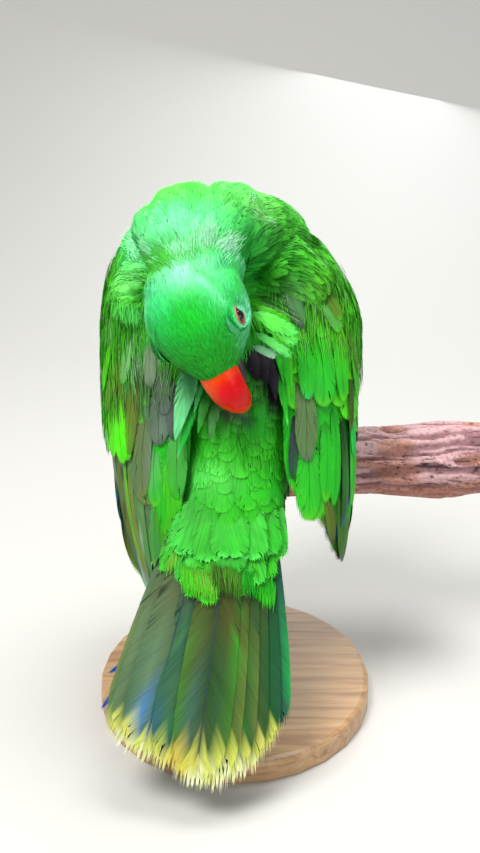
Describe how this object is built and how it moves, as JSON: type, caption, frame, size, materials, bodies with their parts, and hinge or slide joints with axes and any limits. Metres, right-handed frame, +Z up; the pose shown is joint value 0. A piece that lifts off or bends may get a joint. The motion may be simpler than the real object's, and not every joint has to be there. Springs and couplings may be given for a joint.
{
  "type": "eclectus parrot",
  "caption": "Life-size still model of a male eclectus parrot preening its back, gripping a cut branch on a plain round stand.",
  "frame": {"origin": "centre of the stand base's underside", "axes": "+Z up, the bird's back and turned head face -Y, its left side is at -X"},
  "size_m": [0.244, 0.1999, 0.3169],
  "materials": {
    "plumage": "soft body feathers, bright green",
    "flight_feathers": "smooth flight and tail feathers, deep green with blue, tipped yellow on the tail",
    "bill_orange": "glossy horn, orange-red",
    "bill_black": "glossy horn, black",
    "eye": "wet, dark pupil with an orange-brown iris",
    "foot_scales": "scaled grey skin",
    "claw": "dark horn",
    "bark": "rough pinkish-brown bark with cut ends",
    "stand_wood": "satin varnish",
    "stand_steel": "brushed"
  },
  "bodies": {
    "root": {"trunk": "plumage", "neck": "plumage", "head": "plumage", "eye_left": "eye", "eye_right": "eye", "bill_upper": "bill_orange", "bill_lower": "bill_black", "wing_left": "flight_feathers", "wing_right": "flight_feathers", "primary_left_1": "flight_feathers", "primary_left_2": "flight_feathers", "tail": "flight_feathers", "thigh_left": "plumage", "thigh_right": "plumage", "foot_left": "foot_scales", "foot_right": "foot_scales", "claw_left_inner_front": "claw", "claw_left_outer_front": "claw", "claw_left_inner_back": "claw", "claw_left_outer_back": "claw", "claw_right_inner_front": "claw", "claw_right_outer_front": "claw", "claw_right_inner_back": "claw", "claw_right_outer_back": "claw", "perch": "bark", "stand_base": "stand_wood", "stand_rod": "stand_steel"}
  },
  "joints": []
}
